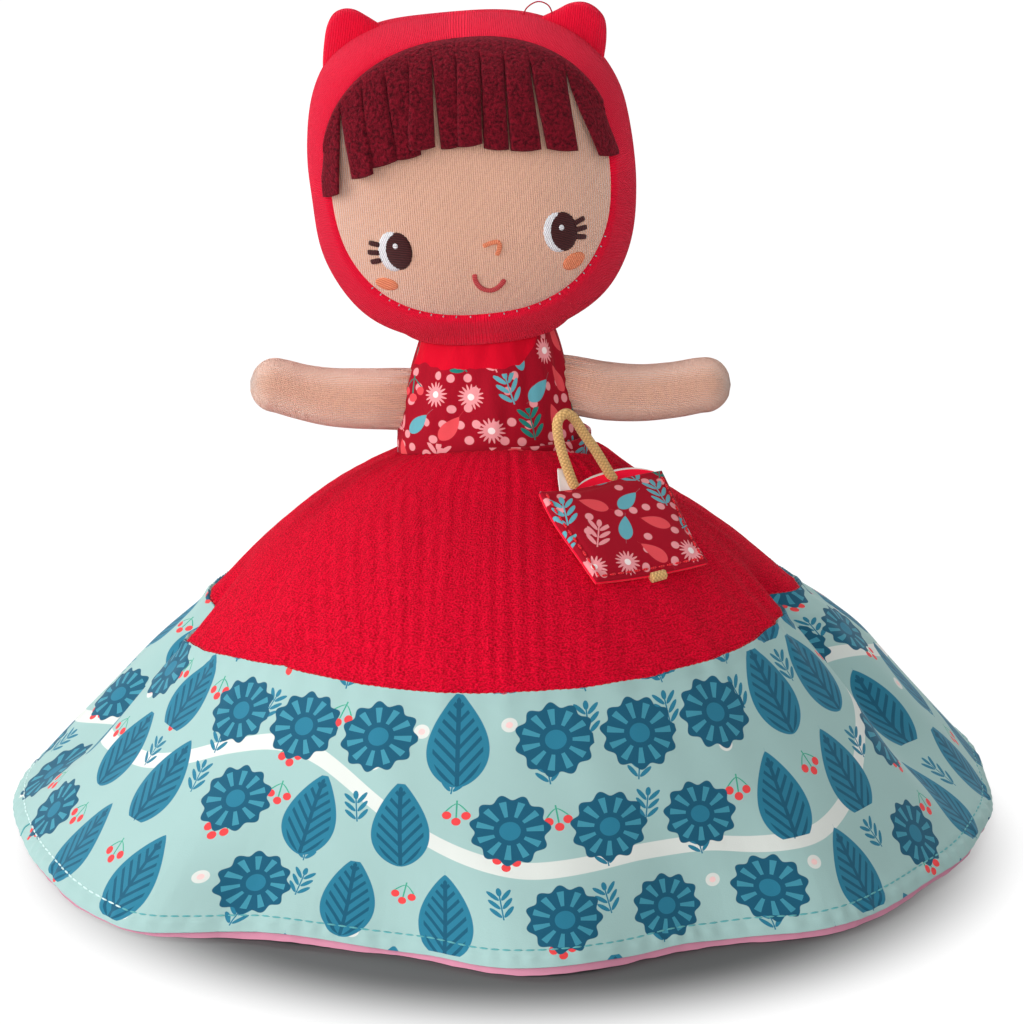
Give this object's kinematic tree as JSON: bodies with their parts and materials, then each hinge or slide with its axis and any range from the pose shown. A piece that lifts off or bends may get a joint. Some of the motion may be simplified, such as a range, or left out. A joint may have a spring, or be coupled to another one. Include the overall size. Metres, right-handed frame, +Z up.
{
  "type": "topsy turvy doll",
  "caption": "Reversible rag doll: an upright doll and a hidden upside-down doll joined at the waist under one flip-over gored skirt, with a small padded bag.",
  "frame": {"origin": "on the standing plane, under the middle of the skirt's hem, at the crown of the hidden doll's hood", "axes": "+Z up through both dolls, -Y the way the faces look, +X to the viewer's right"},
  "size_m": [0.2896, 0.2896, 0.2415],
  "materials": {
    "muslin_red": "crinkled cotton muslin, matt",
    "jersey_red": "fine cotton jersey, matt",
    "border_aqua": "printed cotton poplin, matt",
    "print_red": "printed cotton poplin, matt",
    "knit_beige": "fine cotton knit, matt",
    "fleece_burgundy": "micro-fleece, matt pile",
    "filling_white": "polyester fibre filling",
    "cord_yellow": "braided cotton cord",
    "ribbon_white": "satin ribbon, soft sheen"
  },
  "bodies": {
    "trunk": {"bodice_upper": "print_red", "bodice_hidden": "print_red", "body_filling_upper": "filling_white", "body_filling_hidden": "filling_white", "waist_tape": "jersey_red"},
    "head_upper": {"hood_upper": "jersey_red", "face_panel_upper": "knit_beige", "head_filling_upper": "filling_white", "fringe_upper": "fleece_burgundy", "ear_left": "jersey_red", "ear_right": "jersey_red"},
    "head_hidden": {"hood_hidden": "jersey_red", "face_panel_hidden": "knit_beige", "head_filling_hidden": "filling_white", "fringe_hidden": "fleece_burgundy"},
    "arm_upper_left": {"arm_upper_left": "knit_beige", "arm_filling_upper_left": "filling_white"},
    "arm_upper_right": {"arm_upper_right": "knit_beige", "arm_filling_upper_right": "filling_white"},
    "arm_hidden_left": {"arm_hidden_left": "knit_beige", "arm_filling_hidden_left": "filling_white"},
    "arm_hidden_right": {"arm_hidden_right": "knit_beige", "arm_filling_hidden_right": "filling_white"},
    "yoke_01": {"yoke_gore_01": "muslin_red"},
    "border_01": {"border_gore_01": "border_aqua"},
    "yoke_02": {"yoke_gore_02": "muslin_red"},
    "border_02": {"border_gore_02": "border_aqua"},
    "yoke_03": {"yoke_gore_03": "muslin_red"},
    "border_03": {"border_gore_03": "border_aqua"},
    "yoke_04": {"yoke_gore_04": "muslin_red"},
    "border_04": {"border_gore_04": "border_aqua"},
    "yoke_05": {"yoke_gore_05": "muslin_red"},
    "border_05": {"border_gore_05": "border_aqua"},
    "yoke_06": {"yoke_gore_06": "muslin_red"},
    "border_06": {"border_gore_06": "border_aqua"},
    "yoke_07": {"yoke_gore_07": "muslin_red"},
    "border_07": {"border_gore_07": "border_aqua"},
    "yoke_08": {"yoke_gore_08": "muslin_red"},
    "border_08": {"border_gore_08": "border_aqua"},
    "yoke_09": {"yoke_gore_09": "muslin_red"},
    "border_09": {"border_gore_09": "border_aqua"},
    "yoke_10": {"yoke_gore_10": "muslin_red"},
    "border_10": {"border_gore_10": "border_aqua"},
    "yoke_11": {"yoke_gore_11": "muslin_red"},
    "border_11": {"border_gore_11": "border_aqua"},
    "yoke_12": {"yoke_gore_12": "muslin_red"},
    "border_12": {"border_gore_12": "border_aqua"},
    "bag": {"bag_front": "print_red", "bag_back": "print_red", "bag_filling": "filling_white", "bag_handle": "cord_yellow", "bag_cord_end": "cord_yellow", "bag_tab": "ribbon_white"}
  },
  "joints": [
    {"name": "skirt_flip", "type": "hinge", "parent": "trunk", "child": "yoke_01", "pos_m": [0, -0.03188, 0.11002], "axis": [-1, 0, 0], "range_deg": [0, 35]},
    {"name": "seam_fold_01", "type": "hinge", "parent": "yoke_01", "child": "border_01", "pos_m": [0, -0.09736, 0.063], "axis": [-0.9992, 0, -0.0397], "range_deg": [0, 78]},
    {"name": "waist_fold_02", "type": "hinge", "parent": "trunk", "child": "yoke_02", "pos_m": [0.01594, -0.02761, 0.11002], "axis": [-0.866, -0.5, 0], "range_deg": [0, 35]},
    {"name": "seam_fold_02", "type": "hinge", "parent": "yoke_02", "child": "border_02", "pos_m": [0.04813, -0.08377, 0.06493], "axis": [-0.8507, -0.5246, -0.0346], "range_deg": [0, 78]},
    {"name": "waist_fold_03", "type": "hinge", "parent": "trunk", "child": "yoke_03", "pos_m": [0.02761, -0.01594, 0.11002], "axis": [-0.5, -0.866, 0], "range_deg": [0, 35]},
    {"name": "seam_fold_03", "type": "hinge", "parent": "yoke_03", "child": "border_03", "pos_m": [0.08172, -0.04758, 0.06635], "axis": [-0.4549, -0.8903, -0.0204], "range_deg": [0, 78]},
    {"name": "waist_fold_04", "type": "hinge", "parent": "trunk", "child": "yoke_04", "pos_m": [0.03188, 0, 0.11002], "axis": [0, -1, 0], "range_deg": [0, 35]},
    {"name": "seam_fold_04", "type": "hinge", "parent": "yoke_04", "child": "border_04", "pos_m": [0.09176, -0.0004, 0.06686], "axis": [0.0609, -0.9981, 0], "range_deg": [0, 78]},
    {"name": "waist_fold_05", "type": "hinge", "parent": "trunk", "child": "yoke_05", "pos_m": [0.02761, 0.01594, 0.11002], "axis": [0.5, -0.866, 0], "range_deg": [0, 35]},
    {"name": "seam_fold_05", "type": "hinge", "parent": "yoke_05", "child": "border_05", "pos_m": [0.07722, 0.04418, 0.06635], "axis": [0.5463, -0.8373, 0.0217], "range_deg": [0, 78]},
    {"name": "waist_fold_06", "type": "hinge", "parent": "trunk", "child": "yoke_06", "pos_m": [0.01594, 0.02761, 0.11002], "axis": [0.866, -0.5, 0], "range_deg": [0, 35]},
    {"name": "seam_fold_06", "type": "hinge", "parent": "yoke_06", "child": "border_06", "pos_m": [0.04363, 0.07517, 0.06493], "axis": [0.881, -0.4715, 0.0384], "range_deg": [0, 78]},
    {"name": "waist_fold_07", "type": "hinge", "parent": "trunk", "child": "yoke_07", "pos_m": [0, 0.03188, 0.11002], "axis": [1, 0, 0], "range_deg": [0, 35]},
    {"name": "seam_fold_07", "type": "hinge", "parent": "yoke_07", "child": "border_07", "pos_m": [0, 0.08617, 0.063], "axis": [0.999, 0, 0.0448], "range_deg": [0, 78]},
    {"name": "waist_fold_08", "type": "hinge", "parent": "trunk", "child": "yoke_08", "pos_m": [-0.01594, 0.02761, 0.11002], "axis": [0.866, 0.5, 0], "range_deg": [0, 35]},
    {"name": "seam_fold_08", "type": "hinge", "parent": "yoke_08", "child": "border_08", "pos_m": [-0.04363, 0.07517, 0.06107], "axis": [0.881, 0.4715, 0.0384], "range_deg": [0, 78]},
    {"name": "waist_fold_09", "type": "hinge", "parent": "trunk", "child": "yoke_09", "pos_m": [-0.02761, 0.01594, 0.11002], "axis": [0.5, 0.866, 0], "range_deg": [0, 35]},
    {"name": "seam_fold_09", "type": "hinge", "parent": "yoke_09", "child": "border_09", "pos_m": [-0.07722, 0.04418, 0.05965], "axis": [0.5463, 0.8373, 0.0217], "range_deg": [0, 78]},
    {"name": "waist_fold_10", "type": "hinge", "parent": "trunk", "child": "yoke_10", "pos_m": [-0.03188, 0, 0.11002], "axis": [0, 1, 0], "range_deg": [0, 35]},
    {"name": "seam_fold_10", "type": "hinge", "parent": "yoke_10", "child": "border_10", "pos_m": [-0.09176, -0.0004, 0.05914], "axis": [0.0609, 0.9981, 0], "range_deg": [0, 78]},
    {"name": "waist_fold_11", "type": "hinge", "parent": "trunk", "child": "yoke_11", "pos_m": [-0.02761, -0.01594, 0.11002], "axis": [-0.5, 0.866, 0], "range_deg": [0, 35]},
    {"name": "seam_fold_11", "type": "hinge", "parent": "yoke_11", "child": "border_11", "pos_m": [-0.08172, -0.04758, 0.05965], "axis": [-0.4549, 0.8903, -0.0204], "range_deg": [0, 78]},
    {"name": "waist_fold_12", "type": "hinge", "parent": "trunk", "child": "yoke_12", "pos_m": [-0.01594, -0.02761, 0.11002], "axis": [-0.866, 0.5, 0], "range_deg": [0, 35]},
    {"name": "seam_fold_12", "type": "hinge", "parent": "yoke_12", "child": "border_12", "pos_m": [-0.04813, -0.08377, 0.06107], "axis": [-0.8507, 0.5246, -0.0346], "range_deg": [0, 78]},
    {"name": "head_tilt_upper", "type": "hinge", "parent": "trunk", "child": "head_upper", "pos_m": [-0.0055, 0, 0.14402], "axis": [0, 1, 0], "range_deg": [-8, 8]},
    {"name": "head_tilt_hidden", "type": "hinge", "parent": "trunk", "child": "head_hidden", "pos_m": [0, 0, 0.08172], "axis": [0, 1, 0], "range_deg": [-6, 6]},
    {"name": "arm_lift_upper_left", "type": "hinge", "parent": "trunk", "child": "arm_upper_left", "pos_m": [-0.02711, 0, 0.13199], "axis": [0, 1, 0], "range_deg": [0, 40], "stiffness_Nm_per_rad": 0.02},
    {"name": "arm_lift_upper_right", "type": "hinge", "parent": "trunk", "child": "arm_upper_right", "pos_m": [0.02099, 0, 0.13196], "axis": [0, -1, 0], "range_deg": [0, 40], "stiffness_Nm_per_rad": 0.02},
    {"name": "arm_lift_hidden_left", "type": "hinge", "parent": "trunk", "child": "arm_hidden_left", "pos_m": [-0.02983, 0, 0.09781], "axis": [0, 1, 0], "range_deg": [0, 12], "stiffness_Nm_per_rad": 0.02},
    {"name": "arm_lift_hidden_right", "type": "hinge", "parent": "trunk", "child": "arm_hidden_right", "pos_m": [0.02983, 0, 0.09781], "axis": [0, -1, 0], "range_deg": [0, 12], "stiffness_Nm_per_rad": 0.02},
    {"name": "bag_lift", "type": "hinge", "parent": "yoke_02", "child": "bag", "pos_m": [0.02697, -0.03979, 0.10772], "axis": [-0.866, -0.5, 0], "range_deg": [0, 25]}
  ],
  "couplings": [
    {"joint": "seam_fold_01", "follows": "skirt_flip", "ratio": 2.2},
    {"joint": "waist_fold_02", "follows": "skirt_flip", "ratio": 1},
    {"joint": "seam_fold_02", "follows": "skirt_flip", "ratio": 2.2},
    {"joint": "waist_fold_03", "follows": "skirt_flip", "ratio": 1},
    {"joint": "seam_fold_03", "follows": "skirt_flip", "ratio": 2.2},
    {"joint": "waist_fold_04", "follows": "skirt_flip", "ratio": 1},
    {"joint": "seam_fold_04", "follows": "skirt_flip", "ratio": 2.2},
    {"joint": "waist_fold_05", "follows": "skirt_flip", "ratio": 1},
    {"joint": "seam_fold_05", "follows": "skirt_flip", "ratio": 2.2},
    {"joint": "waist_fold_06", "follows": "skirt_flip", "ratio": 1},
    {"joint": "seam_fold_06", "follows": "skirt_flip", "ratio": 2.2},
    {"joint": "waist_fold_07", "follows": "skirt_flip", "ratio": 1},
    {"joint": "seam_fold_07", "follows": "skirt_flip", "ratio": 2.2},
    {"joint": "waist_fold_08", "follows": "skirt_flip", "ratio": 1},
    {"joint": "seam_fold_08", "follows": "skirt_flip", "ratio": 2.2},
    {"joint": "waist_fold_09", "follows": "skirt_flip", "ratio": 1},
    {"joint": "seam_fold_09", "follows": "skirt_flip", "ratio": 2.2},
    {"joint": "waist_fold_10", "follows": "skirt_flip", "ratio": 1},
    {"joint": "seam_fold_10", "follows": "skirt_flip", "ratio": 2.2},
    {"joint": "waist_fold_11", "follows": "skirt_flip", "ratio": 1},
    {"joint": "seam_fold_11", "follows": "skirt_flip", "ratio": 2.2},
    {"joint": "waist_fold_12", "follows": "skirt_flip", "ratio": 1},
    {"joint": "seam_fold_12", "follows": "skirt_flip", "ratio": 2.2}
  ]
}
